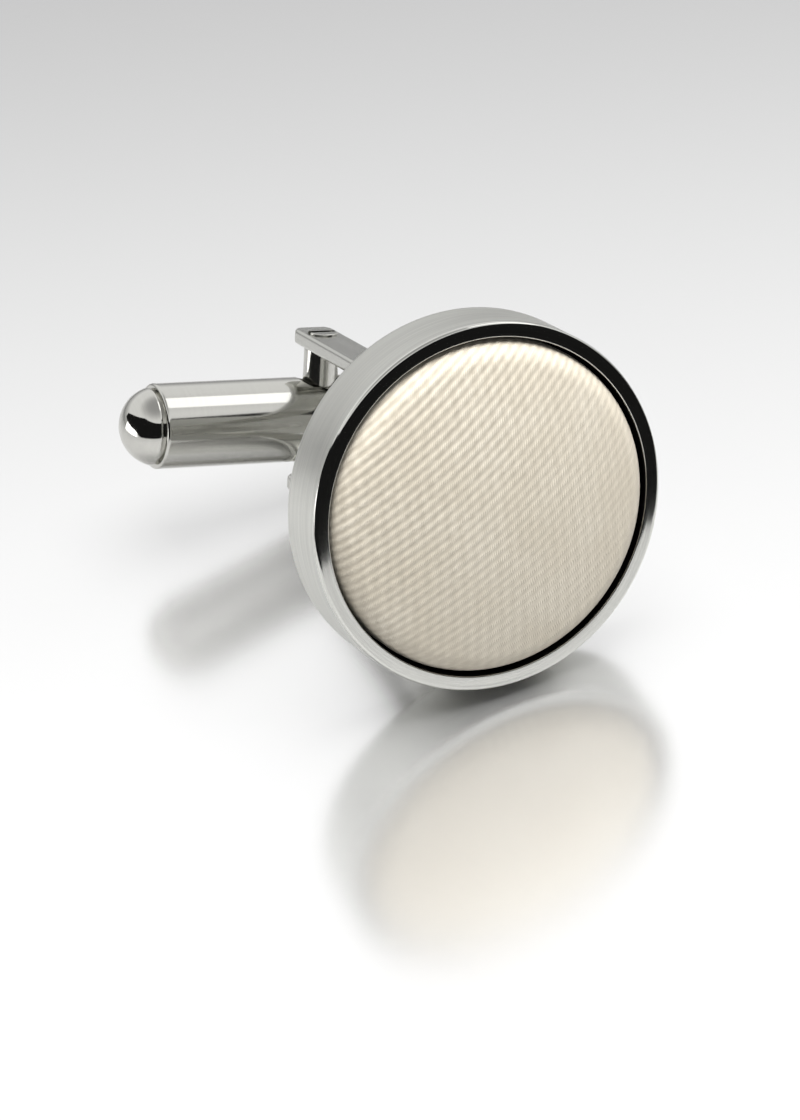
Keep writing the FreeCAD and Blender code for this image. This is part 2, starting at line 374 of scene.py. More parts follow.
def rounded_section(arc_steps, flat_shares):
    """Points round a rectangle with rounded corners, each as a share and a spoke.

    The outline at half-sizes (a, b) and rounding e is share * (a - e, b - e) + spoke * e. Each corner's arc
    has arc_steps points, and flat_shares tells how far along the straight run after it the others lie.
    """
    shares, spokes = [], []
    signs = np.array([(1, 1), (-1, 1), (-1, -1), (1, -1)], float)
    for index, sign in enumerate(signs):
        turn = np.pi / 2 * (index + np.linspace(0, 1, arc_steps))
        arc = np.stack([np.cos(turn), np.sin(turn)], axis=1)
        way = np.array(flat_shares)[:, None]
        shares += [np.tile(sign, (arc_steps, 1)), sign + (signs[(index + 1) % 4] - sign) * way]
        spokes += [arc, np.tile(arc[-1], (len(flat_shares), 1))]
    shares.append(shares[0][:1])
    spokes.append(spokes[0][:1])
    return np.concatenate(shares), np.concatenate(spokes)


def bent_strip():
    """The strip's patch: the rounded section carried along the U, drawn in at both ends.

    At distance d from an end the half-width is w - c + sqrt(c^2 - (c - d)^2) for corners of radius c, and
    the same formula with the edge rounding takes the section in all round over the last of the strip.
    """
    upper_middle = upper_outside - fork_thickness / 2
    lower_middle = lower_outside + fork_thickness / 2
    line, stations = outline([
        (prong_end, upper_middle, 0),
        (web_middle, upper_middle, bend_middle),
        (web_middle, lower_middle, bend_middle),
        (prong_end, lower_middle, 0),
    ], spacing=0.3 * MM, arc_steps=25)
    drawn_in = 1 - np.cos(np.linspace(0, np.pi / 2, 15))
    near_end = np.concatenate([strip_edge_round * drawn_in, prong_corner * drawn_in])
    total = stations[-1]
    places = np.unique(np.round(np.concatenate([stations, near_end, total - near_end]), 9))
    middle = np.stack([np.interp(places, stations, line[:, side]) for side in (0, 1)], axis=1)
    run = np.gradient(middle, places, axis=0)
    run /= np.linalg.norm(run, axis=1)[:, None]
    left = np.minimum(places, total - places)
    lost_corner = np.clip(prong_corner - left, 0, prong_corner)
    half_width = fork_half_width - prong_corner + np.sqrt(prong_corner ** 2 - lost_corner ** 2)
    lost_edge = np.clip(strip_edge_round - left, 0, strip_edge_round)
    rounding = np.sqrt(strip_edge_round ** 2 - lost_edge ** 2)
    share, spoke = rounded_section(arc_steps=7, flat_shares=(0.03, 0.15, 0.38, 0.62, 0.85, 0.97))
    across = share[:, 0] * (half_width - strip_edge_round)[:, None] + spoke[:, 0] * rounding[:, None]
    out = share[:, 1] * (fork_thickness / 2 - strip_edge_round) + spoke[:, 1] * rounding[:, None]
    across = np.concatenate([across[:1], across, across[-1:]])
    out = np.concatenate([0 * out[:1], out, 0 * out[-1:]])
    middle = np.concatenate([middle[:1], middle, middle[-1:]])
    run = np.concatenate([run[:1], run, run[-1:]])
    back = middle[:, :1] - out * run[:, 1:]
    up = middle[:, 1:] + out * run[:, :1]
    around = np.linspace(0, 1, len(share)) * 4 * fork_half_width
    lengths = np.concatenate([places[:1], places, places[-1:]])
    uv = np.stack(np.broadcast_arrays(lengths[:, None], around), axis=-1)
    return np.stack([across, back, up], axis=-1), uv


def cut_out(piece, tool, sharp_degrees=35):
    """Take the tool's shape out of a piece, and throw the tool away."""
    cut = piece.modifiers.new("cut", "BOOLEAN")
    cut.operation = "DIFFERENCE"
    cut.solver = "EXACT"
    cut.object = tool
    solid = bpy.data.meshes.new_from_object(piece.evaluated_get(bpy.context.evaluated_depsgraph_get()))
    piece.modifiers.remove(cut)
    solid.name = piece.name
    piece.data = solid
    solid.shade_smooth()
    solid.set_sharp_from_angle(angle=np.radians(sharp_degrees))
    bpy.data.objects.remove(tool)


fork = skin("bent_fork", [bent_strip()])
drill_line, drill_stations = outline([
    (0, 2 * lower_outside, 0),
    (pin_hole_radius, 2 * lower_outside, 0),
    (pin_hole_radius, 2 * upper_outside, 0),
    (0, 2 * upper_outside, 0),
], spacing=4 * upper_outside)
drill = skin("drill", [turned(drill_line, drill_stations, (0, 0, 0), TO_TOP, TO_RIGHT, sides=64)])
cut_out(fork, drill)
fork.data.materials.append(worked_metal(
    "tumbled_nickel", tumbled_tone, roughness=0.2, mark_width=0.06 * MM, mark_depth=0.002 * MM,
    mark_gloss=0.05))
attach(fork, "face")
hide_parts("fork")


# Button shell and button back: the pressed aluminium dome and disc that the cloth is clamped between.
# They are hidden, so they keep their CAD shape and get the dull, slightly dimpled face of pressed sheet.
def pressed_aluminium():
    """Dull sheet metal with soft dimples and the faint scratches of the press."""
    least_roughness = 0.34
    dimple_size = 0.3 * MM
    dimple_depth = 0.004 * MM
    scratch_size = (0.02 * MM, 1.5 * MM, 1.5 * MM)
    scratch_gloss = 0.16
    scratch_height = 0.2
    dull_tone = (0.56, 0.56, 0.57)
    light_tone = (0.66, 0.66, 0.67)
    material, shade = new_material("pressed_aluminium")
    place = shade.coordinate("Object")
    dimples = place.scaled(1 / dimple_size).noise()
    scratches = place.scaled(tuple(1 / size for size in scratch_size)).noise(detail=1.0)
    close_material(shade, {
        "Base Color": dimples.mix(dull_tone, light_tone),
        "Metallic": 1.0,
        "Roughness": least_roughness + scratches * scratch_gloss,
        "Normal": (dimples + scratches * scratch_height).bump(dimple_depth),
    })
    return material


aluminium = pressed_aluminium()
for name in ("button_shell", "button_back"):
    frame["nodes"][name].data.materials.clear()
    frame["nodes"][name].data.materials.append(aluminium)


# Fabric cover: a disc of ivory satin twill, pulled over the button's dome and tucked round its edge.
# The diagonal ribs of the twill stand up from the cloth, and run from lower left to upper right.
cloth_low, cloth_high = reach("fabric_cover")
cloth_radius = (cloth_high[0] - cloth_low[0]) / 2
cloth_crown = cup_back - cloth_low[1]
cloth_base = cup_back - cloth_high[1]
cloth_crown_rise = 1.0 * MM
cloth_edge_round = 1.2 * MM
cloth_hem_round = 0.3 * MM
cloth_under = 0.85 * MM
cloth_thickness = 0.2 * MM
rib_pitch = 0.40 * MM
rib_height = 0.027 * MM
rib_angle = np.radians(42.5)
rib_bow = 10.0
rib_wander = 0.018 * MM
rib_show_middle = 0.48
rib_show_least = 0.08
rib_fade_across = 13.3 * MM
rib_fade_along = 52 * MM
rib_samples = 8


def cloth_profile():
    """Line from the crown over the dome, round the edge, down the side and in under the button."""
    rim = cloth_crown - cloth_crown_rise
    dome_radius = (cloth_radius ** 2 + cloth_crown_rise ** 2) / (2 * cloth_crown_rise)
    dome_steps = 60
    dome_end = cloth_radius - 1.5 * cloth_edge_round
    radius = np.linspace(0, dome_end, dome_steps)
    height = cloth_crown - dome_radius + np.sqrt(dome_radius ** 2 - radius ** 2)
    corners = [(across, along, 0) for across, along in zip(radius, height)]
    corners += [
        (cloth_radius, rim, cloth_edge_round),
        (cloth_radius, cloth_base, cloth_hem_round),
        (cloth_radius - cloth_under, cloth_base, 0),
    ]
    return outline(corners, spacing=0.05 * MM, arc_steps=17)


def ribbed_cloth():
    """The cloth's patch: a flat disc, gridded along its ribs, laid over the profile.

    A point of the flat disc at distance s from its middle goes to the profile at length s, in the same
    direction. It is sunk by rib_height * (1 - ridge), where ridge = cos(pi * p / pitch) ** 2 and p is how
    far the point lies across the ribs, which bow and wander a little. The pull of the cloth flattens them
    evenly from the upper left to the lower right. The flat disc's radius is given too.
    """
    hem_columns = 14
    rows = 101
    row_crowding = 1.35
    long_wave_along, long_wave_across = 1.9 * MM, 2.3 * MM
    short_wave_along, short_wave_across = 0.83 * MM, 1.1 * MM
    line, stations = cloth_profile()
    size = stations[-1]
    shown = cloth_radius + cloth_edge_round
    columns = int(2 * shown / rib_pitch * rib_samples)
    fine = np.linspace(-shown, shown, columns)
    coarse = shown + (size - shown) * np.linspace(0, 1, hem_columns)[1:]
    across = np.concatenate([-coarse[::-1], fine, coarse])[:, None]
    chord = np.sqrt(np.clip(size ** 2 - across ** 2, 0, None))
    bend = np.linspace(-1, 1, rows)
    share = np.sign(bend) * (1 - (1 - np.abs(bend)) ** row_crowding)
    along = chord * share
    distance = np.hypot(across, along)
    direction = np.arctan2(along, across) + rib_angle - np.pi / 2
    radius = np.interp(distance, stations, line[:, 0])
    height = np.interp(distance, stations, line[:, 1])
    slope = np.gradient(line, stations, axis=0)
    outward = np.interp(distance, stations, -slope[:, 1])
    forward = np.interp(distance, stations, slope[:, 0])
    long_waves = np.sin(along / long_wave_along + across / long_wave_across)
    short_waves = np.sin(along / short_wave_along - across / short_wave_across)
    phase = across + rib_bow * along ** 2 + rib_wander * (long_waves + short_waves) * 0.5
    ridge = np.cos(np.pi * phase / rib_pitch) ** 2
    fade = np.clip((shown - distance) / cloth_edge_round, 0, 1)
    show = np.clip(rib_show_middle - across / rib_fade_across - along / rib_fade_along, rib_show_least, 1)
    sunk = rib_height * (1 - ridge) * fade * show
    radius = radius - sunk * outward
    height = height - sunk * forward
    points = np.stack([
        radius * np.cos(direction),
        cup_back - height,
        face_height + radius * np.sin(direction),
    ], axis=-1)
    return (points, np.stack([phase, along], axis=-1)), size


def satin_twill():
    """Ivory satin: ribs of short slanting threads, with painted light on their backs and painted shade
    between.

    The UV map holds metres across and along the ribs, p and q. Threads are a cosine of q + slant * p,
    shifted by noise. The furrows between the ribs are painted darker and warmer, as painted shade. Where
    the ribs are flattened, this painted light and shade fades to one even tone. The yarns of the warp, which
    cross the ribs at a slant, show faintly all over, with painted shade between them.
    faintly all over.
    """
    thread_pitch = 0.13 * MM
    thread_slant = 1.1
    thread_wobble = 5.0
    thread_depth = 0.012 * MM
    thread_share = 0.1
    float_length = 0.6 * MM
    float_offset = 7.3
    float_share = 0.3
    yarn_pitch = 0.56 * MM
    yarn_lean = np.radians(32)
    yarn_wobble = 2.0
    yarn_shade = 0.22
    rib_share = 0.8
    slub_share = 0.25
    woven_drop = 0.2
    woven_dark, woven_light = -0.1, 1.0
    painted_flat_tone = 0.72
    fuzz_size = 0.05 * MM
    fuzz_height = 0.35
    slub_width = 4 * fuzz_size
    slub_length = 9 * fuzz_size
    cloth_roughness = 0.5
    rib_gloss = 0.1
    fuzz_roughness = 0.1
    tone_size = 3.5 * MM
    # Painted shade: the furrow colour below stands for the shade between the ribs.
    painted_furrow_shade = (0.495, 0.445, 0.36)
    ridge_tone = (0.67, 0.61, 0.5)
    pale_tone = (0.73, 0.675, 0.57)
    material, shade = new_material("ivory_satin_twill")
    flat = shade.coordinate("UV")
    p = flat.part("X")
    q = flat.part("Y")
    slub = flat.scaled((1 / slub_width, 1 / slub_length, 1.0)).noise()
    fuzz = flat.scaled(1 / fuzz_size).noise()
    tone = flat.scaled(1 / tone_size).noise()
    rib = shade.math("COSINE", p * (2 * np.pi / rib_pitch)) * 0.5 + 0.5
    turn = (q + p * thread_slant) * (2 * np.pi / thread_pitch) + slub * thread_wobble
    thread = shade.math("COSINE", turn) * 0.5 + 0.5
    row = shade.math("FLOOR", p * (1 / rib_pitch) + 0.5)
    float_place = {"X": row * float_offset, "Y": q * (1 / float_length)}
    floats = shade.node("ShaderNodeCombineXYZ", {}, float_place).noise(detail=1.0)
    woven_light_and_shade = rib * rib_share + floats.spread() * float_share
    woven_light_and_shade = woven_light_and_shade + slub.spread() * slub_share + thread * thread_share - woven_drop
    faded = rib_show_middle - p * (1 / rib_fade_across) - q * (1 / rib_fade_along)
    show = shade.node("ShaderNodeClamp", {}, {"Value": faded, "Min": rib_show_least, "Max": 1.0})
    yarn_across = q * np.cos(yarn_lean) + p * np.sin(yarn_lean)
    yarn_turn = yarn_across * (2 * np.pi / yarn_pitch) + slub * yarn_wobble
    yarn = shade.math("COSINE", yarn_turn) * 0.5 + 0.5
    # Painted light and shade of the weave: rib backs lighter, furrows and the gaps between yarns darker.
    # Where the ribs are flattened it fades to one even tone.
    ribbed_light_and_shade = woven_light_and_shade.ramp(woven_dark, woven_light)
    painted_weave_light = (ribbed_light_and_shade - painted_flat_tone) * show + painted_flat_tone - (1 - yarn) * yarn_shade
    body = tone.spread().mix(ridge_tone, pale_tone)
    close_material(shade, {
        "Base Color": painted_weave_light.mix(painted_furrow_shade, body),
        "Roughness": cloth_roughness - rib * rib_gloss + fuzz * fuzz_roughness,
        "Specular IOR Level": 0.55,
        "Sheen Weight": 0.2,
        "Sheen Roughness": 0.35,
        "Sheen Tint": (1.0, 0.97, 0.9, 1.0),
        "Normal": (thread * rib + fuzz * fuzz_height).bump(thread_depth),
    })
    return material


cloth_patch, cloth_size = ribbed_cloth()
cloth = skin("satin_cover", [cloth_patch], sharp_degrees=180)
lining = cloth.modifiers.new("cloth_thickness", "SOLIDIFY")
lining.thickness = cloth_thickness
lining.offset = -1.0
cloth.data.materials.append(satin_twill())
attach(cloth, "face")
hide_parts("fabric_cover")
2 * cloth_size
2 * cloth_size
np.pi * cloth_size ** 2


# Glue pad: the film of clear amber adhesive that holds the button to the cup's floor.
# It is hidden under the button and keeps its CAD shape.
def cured_adhesive():
    """Slightly cloudy amber film with soft swirls."""
    least_roughness = 0.4
    swirl_size = 1.2 * MM
    swirl_depth = 0.01 * MM
    swirl_haze = 0.25
    amber_tone = (0.74, 0.68, 0.5)
    cloudy_tone = (0.84, 0.8, 0.66)
    material, shade = new_material("cured_adhesive")
    swirls = shade.coordinate("Object").scaled(1 / swirl_size).noise(detail=3.0)
    close_material(shade, {
        "Base Color": swirls.mix(amber_tone, cloudy_tone),
        "Roughness": least_roughness + swirls * swirl_haze,
        "Normal": swirls.bump(swirl_depth),
    })
    return material


frame["nodes"]["glue_pad"].data.materials.clear()
frame["nodes"]["glue_pad"].data.materials.append(cured_adhesive())


# Toggle bar: a short length of polished nickel-plated tube. It is drilled through for the pin, and a flat
# round seat is sunk in its wall above and below for the collars.
bar_low, bar_high = reach("toggle_bar")
bar_radius = (bar_high[2] - bar_low[2]) / 2
bar_half_length = (bar_high[0] - bar_low[0]) / 2
bar_bore = 1.3 * MM
bar_edge_round = 0.12 * MM
seat_radius = 1.2 * MM
seat_height = 1.6 * MM
seat_edge = 0.03 * MM
bar_pin_hole = 0.6 * MM
bar_middle = 2.4 * MM
wall_steps = 72
polished_nickel_tone = (0.6, 0.595, 0.56)


def wall_round_pin(radius, edge_radius, inner_rows, side):
    """Half of the tube's wall near the pin, above it where side is 1 and below it where side is -1.

    On the unrolled wall, x along the tube and w round it, the rings go from the round edge to the border of
    the rectangle |x| <= bar_middle, |w| <= a quarter turn: (1 - t) * edge + t * border. The wall's height
    is radius * cos(w / radius). inner_rows are more circles inside the round edge, from the innermost out,
    each as a radius and a function that gives the height at a distance y from the tube's middle.
    """
    rings_out = 22
    ring_crowding = 1.4
    up_run = np.linspace(-1, 1, wall_steps + 1)[:-1]
    ones = np.ones(wall_steps)
    border_x = bar_middle * np.concatenate([ones, -up_run, -ones, up_run, [1]])
    border_turn = np.pi / 2 * np.concatenate([up_run, ones, -up_run, -ones, [-1]])
    border_w = radius * border_turn
    angle = np.arctan2(bar_radius * border_turn, border_x)
    edge_x = edge_radius * np.cos(angle)
    edge_w = radius * np.arcsin(edge_radius * np.sin(angle) / radius)
    t = np.linspace(0, 1, rings_out)[:, None] ** ring_crowding
    x = edge_x + (border_x - edge_x) * t
    w = edge_w + (border_w - edge_w) * t
    rings = np.stack([x, radius * np.sin(w / radius), radius * np.cos(w / radius)], axis=-1)
    rows = []
    for row_radius, row_height in inner_rows:
        row_y = row_radius * np.sin(angle)
        row_z = row_height(row_y) * np.ones_like(row_y)
        rows.append(np.stack([row_radius * np.cos(angle), row_y, row_z], axis=-1))
    points = np.concatenate([np.array(rows).reshape(-1, len(angle), 3), rings])
    uv = np.stack([np.arctan2(points[..., 1], points[..., 2]) / (2 * np.pi), points[..., 0]], axis=-1)
    return points * np.array([1, side, side]), uv


def tube_end(side):
    """One end of the tube as a patch: its outside, its rounded edge, its end face and its bore."""
    line = outline([
        (bar_radius, bar_middle, 0),
        (bar_radius, bar_half_length, bar_edge_round),
        (bar_bore, bar_half_length, 0),
        (bar_bore, bar_middle, 0),
    ], spacing=0.3 * MM)[0]
    return turned(line, line[:, 1], (0, 0, 0), (side, 0, 0), TO_BACK, sides=2 * wall_steps)


def polished_nickel(name, roughness, mark_depth):
    """Bright plated metal: the last polishing leaves hairlines round the piece and a little haze."""
    return worked_metal(
        name, polished_nickel_tone, roughness, mark_width=0.05 * MM, mark_depth=mark_depth, mark_gloss=0.035)


def bore_wall(y):
    """Height of the bore's wall: sqrt(bore^2 - y^2)."""
    return np.sqrt(bar_bore ** 2 - y ** 2)


def seat_floor(y):
    """Height of the flat seat, the same for every y."""
    return seat_height


def seat_rim(y):
    """Height of the seat's rim, just below the tube's outside: sqrt(radius^2 - y^2) - edge."""
    return np.sqrt(bar_radius ** 2 - y ** 2) - seat_edge


seat_rows = [
    (bar_pin_hole, bore_wall),
    (bar_pin_hole, seat_floor),
    (seat_radius, seat_floor),
    (seat_radius, seat_rim),
]
bar_patches = [tube_end(side) for side in (-1, 1)]
for side in (-1, 1):
    bar_patches.append(wall_round_pin(bar_radius, seat_radius + seat_edge, seat_rows, side))
    bar_patches.append(wall_round_pin(bar_bore, bar_pin_hole, [], side))
bar = skin("polished_bar", bar_patches)
bar.data.materials.append(polished_nickel("polished_nickel", roughness=0.11, mark_depth=0.0006 * MM))
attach(bar, "toggle")
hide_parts("toggle_bar")


# End plugs: a turned plug is pressed into each end of the tube. A neck leaves a thin dark groove between
# the tube and the plug's round, mirror-polished end.
plug_spigot_radius = 1.28 * MM
plug_spigot_length = 2.0 * MM
plug_neck_radius = 1.65 * MM
plug_neck_length = 0.15 * MM
plug_dome_radius = 1.85 * MM
plug_dome_land = 0.1 * MM
plug_edge_round = 0.05 * MM
dome_steps = 40
mirror_nickel = polished_nickel("mirror_nickel", roughness=0.06, mark_depth=0.0003 * MM)
for name, side in (("left", -1), ("right", 1)):
    plug_low, plug_high = reach(name + "_end_plug")
    plug_end = max(-plug_low[0], plug_high[0]) - bar_half_length
    dome_base = plug_neck_length + plug_dome_land
    dome_rise = plug_end - dome_base
    ball_radius = (plug_dome_radius ** 2 + dome_rise ** 2) / (2 * dome_rise)
    dome_turn = np.linspace(np.arcsin(plug_dome_radius / ball_radius), 0, dome_steps)
    dome_across = ball_radius * np.sin(dome_turn)
    dome_along = plug_end - ball_radius * (1 - np.cos(dome_turn))
    plug_line, plug_stations = outline([
        (0, -plug_spigot_length, 0),
        (plug_spigot_radius, -plug_spigot_length, plug_edge_round),
        (plug_spigot_radius, 0, 0),
        (plug_neck_radius, 0, 0),
        (plug_neck_radius, plug_neck_length, 0),
        (plug_dome_radius, plug_neck_length, plug_edge_round),
        *[(across, along, 0) for across, along in zip(dome_across, dome_along)],
    ], spacing=0.15 * MM)
    centre = (side * bar_half_length, 0, 0)
    plug_patch = turned(plug_line, plug_stations, centre, (side, 0, 0), TO_BACK, sides=160)
    plug = skin(name + "_ball_end", [plug_patch])
    plug.data.materials.append(mirror_nickel)
    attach(plug, "toggle")
    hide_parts(name + "_end_plug")


# Detent: a hardened ball, pushed by a coil spring against the flats of the pin, holds the toggle open or
# shut. Both are inside the tube, in the grey of drawn and ground steel. The ball keeps its CAD shape.
spring_radius = 0.95 * MM
spring_wire_radius = 0.1 * MM
spring_turns = 6


def drawn_steel(name, colour, roughness):
    """Grey steel with a fine, faint grain."""
    grain_size = 0.08 * MM
    grain_depth = 0.001 * MM
    grain_gloss = 0.12
    dull_share = 0.85
    material, shade = new_material(name)
    grain = shade.coordinate("Object").scaled(1 / grain_size).noise()
    dull = tuple(dull_share * part for part in colour)
    close_material(shade, {
        "Base Color": grain.mix(dull, colour),
        "Metallic": 1.0,
        "Roughness": roughness + grain * grain_gloss,
        "Normal": grain.bump(grain_depth),
    })
    return material


def coiled_wire(first, last):
    """Patch of round wire along a helix from first to last on the tube's axis, closed at both ends.

    At turn a the wire's middle is at (first + rise * a, r * cos(a), r * sin(a)), and the ring round it is
    wire_radius * (cos(b) * out + sin(b) * square), square to the helix.
    """
    steps_a_turn = 40
    sides = 16
    turn = np.linspace(0, 2 * np.pi * spring_turns, steps_a_turn * spring_turns + 1)
    rise = (last - first) / turn[-1]
    out = np.stack([0 * turn, np.cos(turn), np.sin(turn)], axis=1)
    middle = spring_radius * out + np.outer(first + rise * turn, TO_RIGHT)
    run = np.stack([rise + 0 * turn, -spring_radius * np.sin(turn), spring_radius * np.cos(turn)], axis=1)
    run /= np.linalg.norm(run, axis=1)[:, None]
    square = np.cross(run, out)
    angle = np.linspace(0, 2 * np.pi, sides + 1)
    ring = np.cos(angle)[:, None] * out[:, None] + np.sin(angle)[:, None] * square[:, None]
    points = middle[:, None] + spring_wire_radius * ring
    caps = [np.repeat(middle[end][None, None], sides + 1, axis=1) for end in (0, -1)]
    length = spring_radius * np.concatenate([turn[:1], turn, turn[-1:]])
    uv = np.stack(np.broadcast_arrays(length[:, None], spring_wire_radius * angle), axis=-1)
    return np.concatenate([caps[0], points, caps[1]]), uv


spring_low, spring_high = reach("detent_spring")
ball_press = joints["detent_press"]["range_m"][1]
spring_left = 1 - ball_press / (spring_high[0] - spring_low[0])
wire = coiled_wire(spring_low[0] + spring_wire_radius, spring_high[0] - spring_wire_radius)
spring_end = PIVOT + spring_high[0] * RIGHT
spring = skin("coil_spring", [wire], sharp_degrees=60)
spring.data.materials.append(drawn_steel("spring_wire_steel", (0.46, 0.46, 0.47), roughness=0.3))
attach(spring, "toggle")
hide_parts("detent_spring")
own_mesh(spring)

ball = frame["nodes"]["detent_ball"]
ball.data.materials.clear()
ball.data.materials.append(drawn_steel("ground_ball_steel", (0.55, 0.55, 0.56), roughness=0.12))


# Pivot pin and collars: the pin goes through both prongs. Its top is a low screw head with a slot, its foot
# is riveted, and its middle has four flats for the detent ball. A plain sleeve above and below keeps the
# tube in its place between the prongs.
pin_low, pin_high = reach("pivot_pin")
pin_top = pin_high[2]
pin_bottom = pin_low[2]
pin_radius = 0.55 * MM
pin_head_radius = 0.72 * MM
screw_head_round = 0.05 * MM
rivet_head_round = 0.08 * MM
slot_width = 0.3 * MM
slot_depth = 0.25 * MM
pin_flat_depth = 0.05 * MM
pin_flat_reach = 1.25 * MM
pin_line, pin_stations = outline([
    (0, pin_bottom, 0),
    (pin_head_radius, pin_bottom, rivet_head_round),
    (pin_head_radius, lower_outside, 0),
    (pin_radius, lower_outside, 0),
    (pin_radius, upper_outside, 0),
    (pin_head_radius, upper_outside, 0),
    (pin_head_radius, pin_top, screw_head_round),
    (0, pin_top, 0),
], spacing=0.1 * MM)
pin_points, pin_uv = turned(pin_line, pin_stations, (0, 0, 0), TO_TOP, TO_RIGHT, sides=96)
flat_rows = np.abs(pin_points[..., 2:]) < pin_flat_reach
pin_flat = pin_radius - pin_flat_depth
pin_across = np.clip(pin_points[..., :2], -pin_flat, pin_flat)
flattened = np.concatenate([pin_across, pin_points[..., 2:]], axis=-1)
pin = skin("slotted_pin", [(np.where(flat_rows, flattened, pin_points), pin_uv)])
slot_square = np.array([(1, 1), (-1, 1), (-1, -1), (1, -1), (1, 1)])
slot_corners = slot_square * (2 * pin_head_radius, slot_width / 2)
slot_rows = []
for share, height in ((0, -slot_depth), (1, -slot_depth), (1, slot_depth), (0, slot_depth)):
    slot_rows.append(np.column_stack([share * slot_corners, np.full(len(slot_corners), pin_top + height)]))
slot_points = np.array(slot_rows)
cut_out(pin, skin("slot_cutter", [(slot_points, slot_points[..., :2])]))
pin.data.materials.append(polished_nickel("turned_pin_nickel", roughness=0.14, mark_depth=0.001 * MM))
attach(pin, "face")
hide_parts("pivot_pin")

collar_radius = 0.85 * MM
collar_bore = 0.57 * MM
collar_edge_round = 0.06 * MM
collar_metal = polished_nickel("collar_nickel", roughness=0.13, mark_depth=0.001 * MM)
for name in ("upper", "lower"):
    collar_low, collar_high = reach(name + "_collar")
    collar_line, collar_stations = outline([
        (collar_bore, collar_low[2], 0),
        (collar_radius, collar_low[2], collar_edge_round),
        (collar_radius, collar_high[2], collar_edge_round),
        (collar_bore, collar_high[2], 0),
        (collar_bore, collar_low[2], 0),
    ], spacing=0.1 * MM)
    collar_patch = turned(collar_line, collar_stations, (0, 0, 0), TO_TOP, TO_RIGHT, sides=96)
    collar = skin(name + "_sleeve", [collar_patch])
    collar.data.materials.append(collar_metal)
    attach(collar, "face")
    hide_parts(name + "_collar")


# Camera: the photograph's viewing angle and distance, with a longer lens that comes closer in on the link.
# Its place is told by azimuth, elevation and roll about the point that it is aimed at.
image_width, image_height = 800, 1120
photo_focal_pixels = 2200
closer = 1.9
sensor_long_side = 36.0
azimuth, elevation, roll = np.radians((-23.5, 33.5, -5.2))
camera_distance = 195.5 * MM
aim = np.array([-0.9, -1.4, 2.0]) * MM
to_camera = np.array([
    np.sin(azimuth) * np.cos(elevation),
    -np.cos(azimuth) * np.cos(elevation),
    np.sin(elevation),
])
level = np.array([np.cos(azimuth), np.sin(azimuth), 0])
steep = np.cross(to_camera, level)
camera_right = np.cos(roll) * level + np.sin(roll) * steep
camera_up = np.cos(roll) * steep - np.sin(roll) * level
pose = np.eye(4)
pose[:3] = np.stack([camera_right, camera_up, to_camera, aim + to_camera * camera_distance], axis=1)
camera = bpy.data.objects.new("camera", bpy.data.cameras.new("camera"))
camera.matrix_world = Matrix(pose.tolist())
camera.data.sensor_width = sensor_long_side
camera.data.lens = sensor_long_side * photo_focal_pixels * closer / max(image_width, image_height)
camera.data.clip_start = 0.001
camera.data.clip_end = 20.0
bpy.context.scene.collection.objects.link(camera)
bpy.context.scene.camera = camera


# Floor and background: a pale sheet with a soft gloss, white in front of the link and grey far behind it,
# in a plain bright room. The clear film on the sheet can't be seen. It only marks the rays that have met
# the table, so that the cards of the next section stay out of the table's gloss.
floor_half = 3.0
floor_gloss = 0.75
floor_roughness = 0.19
film_height = 0.02 * MM
grey_stretch = (-0.035, 0.09)
dark_stretch = (0.06, 0.5)
sheet_near, sheet_behind, sheet_far = 0.48, 0.145, 0.095
gloss_near, gloss_far = 1.0, 0.6
sheet_bounce = 0.35
wall_stretch = (0.0, 0.35)
ceiling_stretch = (0.68, 1.0)
wall_low, wall_high = 0.5, 1.0
ceiling_tone = 0.45
room_bounce = 0.15


def grey(level):
    """A neutral colour."""
    return (level, level, level)


def flat_stage(name, height):
    """A large level stage sheet."""
    corners = [
        (-floor_half, -floor_half, height),
        (floor_half, -floor_half, height),
        (floor_half, floor_half, height),
        (-floor_half, floor_half, height),
    ]
    mesh = bpy.data.meshes.new(name)
    mesh.from_pydata(corners, [], [range(len(corners))])
    stand = bpy.data.objects.new(name, mesh)
    bpy.context.scene.collection.objects.link(stand)
    return stand


def seen_as_background(shade):
    """1 for the rays that show the background: camera, glossy and transmission rays."""
    path = {name: shade.node("ShaderNodeLightPath", {}, {}, name) for name in (
        "Is Camera Ray", "Is Glossy Ray", "Is Transmission Ray")}
    total = path["Is Camera Ray"] + path["Is Glossy Ray"] + path["Is Transmission Ray"]
    return shade.math("MINIMUM", total, 1.0)


floor = flat_stage("floor", 0)
floor_material, shade = new_material("glossy_white_sheet")
place = shade.coordinate("Object")
away = place.part("X") * -np.sin(azimuth) + place.part("Y") * np.cos(azimuth)
far = away.ramp(*grey_stretch)
floor_colour = far.mix(grey(sheet_near), grey(sheet_behind))
floor_colour = away.ramp(*dark_stretch).mix(floor_colour, grey(sheet_far))
sheet = shade.node("ShaderNodeBsdfDiffuse", {}, {"Color": floor_colour})
gloss_colour = far.mix(grey(gloss_near), grey(gloss_far))
gloss = shade.node("ShaderNodeBsdfGlossy", {}, {"Color": gloss_colour, "Roughness": floor_roughness})
glazed = shade.node("ShaderNodeMixShader", {}, {0: floor_gloss, 1: sheet, 2: gloss})
plain = shade.node("ShaderNodeBsdfDiffuse", {}, {"Color": (*grey(sheet_bounce), 1.0)})
seen = shade.node("ShaderNodeMixShader", {}, {0: seen_as_background(shade), 1: plain, 2: glazed})
shade.node("ShaderNodeOutputMaterial", {}, {"Surface": seen})
floor.data.materials.append(floor_material)

film = flat_stage("clear_film", film_height)
film_material, shade = new_material("clear_film")
clear = shade.node("ShaderNodeBsdfTransparent", {}, {})
shade.node("ShaderNodeOutputMaterial", {}, {"Surface": clear})
film.data.materials.append(film_material)
film.visible_shadow = False
film.visible_diffuse = False

